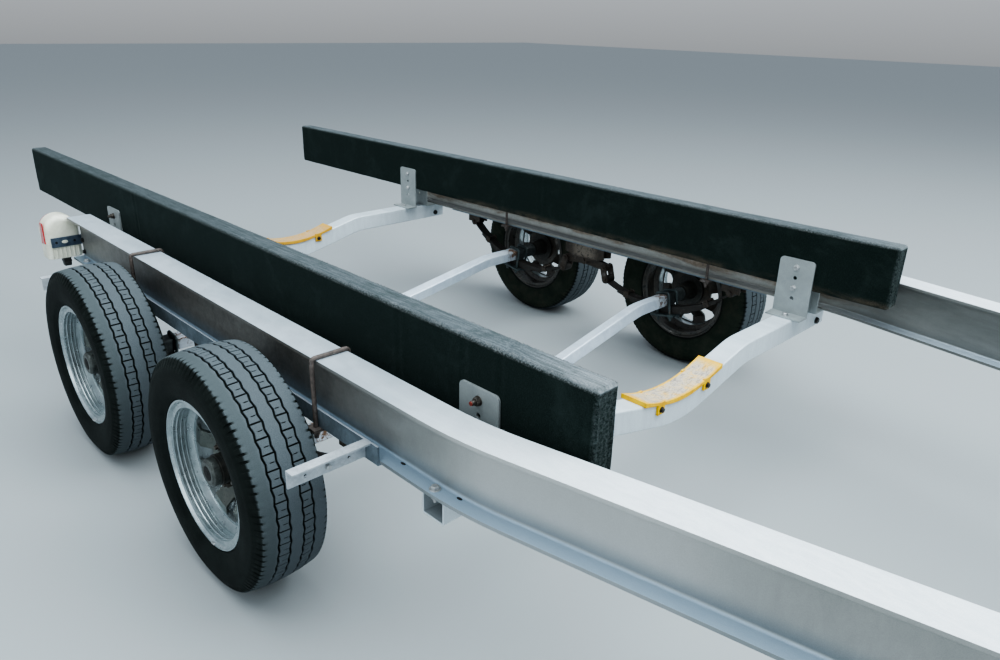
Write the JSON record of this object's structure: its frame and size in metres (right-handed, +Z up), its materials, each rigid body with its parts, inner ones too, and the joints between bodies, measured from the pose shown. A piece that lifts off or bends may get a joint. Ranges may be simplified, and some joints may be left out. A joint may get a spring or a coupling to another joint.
{
  "type": "boat trailer",
  "caption": "Tandem-axle boat trailer with aluminium I-beam rails that turn in to the tongue, carpeted bunks, keel pads, leaf springs, winch post and swivel jack.",
  "frame": {"origin": "ground level, at the middle of the trailer's length and width", "axes": "+X forward to the coupler, +Y to the left, +Z up"},
  "size_m": [7.95, 2.444, 1.246],
  "materials": {
    "aluminium": "mill finish",
    "axle_steel": "galvanised, rust near the ends",
    "black_rubber": "black",
    "carpet": "black marine carpet over plank, matte",
    "galvanised": "hot-dip galvanised, weathered",
    "hub_steel": "black, dusty",
    "jack_steel": "zinc plated",
    "lamp_housing": "cream white",
    "lamp_lens": "red",
    "rusty_steel": "galvanised bar with surface rust",
    "spring_steel": "dark, rusty",
    "tyre": "worn rubber",
    "wheel_steel": "galvanised pressed steel",
    "yellow_pad": "yellow polyurethane, scuffed"
  },
  "bodies": {
    "trailer": {"main_rail_left": "aluminium", "main_rail_right": "aluminium", "sub_rails": "galvanised", "fender_brackets": "galvanised", "rail_u_bolts": "rusty_steel", "cross_member_rear": "aluminium", "cross_member_front": "aluminium", "cross_member_middle": "aluminium", "cross_member_tongue": "aluminium", "keel_pads": "yellow_pad", "bunk_left": "carpet", "bunk_right": "carpet", "bunk_brackets_rear": "aluminium", "bunk_brackets_front": "aluminium", "axle_front": "axle_steel", "axle_rear": "axle_steel", "leaf_springs_front": "spring_steel", "leaf_springs_rear": "spring_steel", "spring_clamps": "galvanised", "spring_hangers": "galvanised", "equalisers": "galvanised", "tail_light_brackets": "galvanised", "tail_light_housings": "lamp_housing", "tail_light_lenses": "lamp_lens", "tongue": "aluminium", "coupler": "galvanised", "winch_post": "aluminium", "bow_stop": "black_rubber", "bow_stop_bracket": "galvanised", "winch_frame": "galvanised", "winch_drum": "galvanised", "jack_mount": "jack_steel"},
    "wheel_front_left": {"tyre_front_left": "tyre", "rim_front_left": "wheel_steel", "hub_front_left": "hub_steel"},
    "wheel_front_right": {"tyre_front_right": "tyre", "rim_front_right": "wheel_steel", "hub_front_right": "hub_steel"},
    "wheel_rear_left": {"tyre_rear_left": "tyre", "rim_rear_left": "wheel_steel", "hub_rear_left": "hub_steel"},
    "wheel_rear_right": {"tyre_rear_right": "tyre", "rim_rear_right": "wheel_steel", "hub_rear_right": "hub_steel"},
    "jack_tube": {"jack_tube": "jack_steel"},
    "jack_leg": {"jack_leg": "jack_steel"}
  },
  "joints": [
    {"name": "wheel_front_left_spin", "type": "hinge", "parent": "trailer", "child": "wheel_front_left", "pos_m": [-1.275, 1.118, 0.332], "axis": [0, 1, 0], "continuous": true},
    {"name": "wheel_front_right_spin", "type": "hinge", "parent": "trailer", "child": "wheel_front_right", "pos_m": [-1.275, -1.118, 0.332], "axis": [0, 1, 0], "continuous": true},
    {"name": "wheel_rear_left_spin", "type": "hinge", "parent": "trailer", "child": "wheel_rear_left", "pos_m": [-2.201, 1.118, 0.332], "axis": [0, 1, 0], "continuous": true},
    {"name": "wheel_rear_right_spin", "type": "hinge", "parent": "trailer", "child": "wheel_rear_right", "pos_m": [-2.201, -1.118, 0.332], "axis": [0, 1, 0], "continuous": true},
    {"name": "jack_swivel", "type": "hinge", "parent": "trailer", "child": "jack_tube", "pos_m": [3.465, 0.052, 0.361], "axis": [0, 1, 0], "range_deg": [0, 90]},
    {"name": "jack_extend", "type": "slide", "parent": "jack_tube", "child": "jack_leg", "axis": [0, 0, 1], "range_m": [0, 0.25]}
  ]
}
